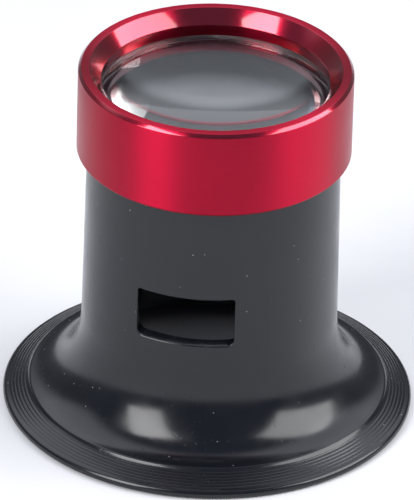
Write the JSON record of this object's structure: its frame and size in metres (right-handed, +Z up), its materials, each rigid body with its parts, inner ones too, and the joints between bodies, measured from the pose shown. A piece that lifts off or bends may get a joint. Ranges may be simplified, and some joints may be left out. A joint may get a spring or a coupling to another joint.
{
  "type": "eye loupe",
  "caption": "Eye loupe that stands on its flared black eyecup: a tube with a vent window and a screwed, bevelled metal ring that holds a thick lens.",
  "frame": {"origin": "on the optical axis, in the plane that the eyecup's rim stands on", "axes": "+Z up along the optical axis from the eyecup to the ring, -Y towards the window in the barrel's wall"},
  "size_m": [0.042, 0.042, 0.0382],
  "materials": {
    "barrel_plastic": "glossy injection moulded, black",
    "ring_aluminium": "turned and anodised, crimson, satin",
    "lens_glass": "polished, clear"
  },
  "bodies": {
    "barrel": {"eyecup_barrel": "barrel_plastic"},
    "lens": {"magnifying_lens": "lens_glass"},
    "ring": {"screw_ring": "ring_aluminium"}
  },
  "joints": [
    {"name": "ring_rise", "type": "slide", "parent": "barrel", "child": "lens", "axis": [0, 0, 1], "range_m": [0, 0.0015]},
    {"name": "ring_turn", "type": "hinge", "parent": "lens", "child": "ring", "pos_m": [0, 0, 0.0305], "axis": [0, 0, 1], "range_deg": [0, 720]}
  ],
  "couplings": [
    {"joint": "ring_rise", "follows": "ring_turn", "m_per_rad": 0.00011937}
  ]
}
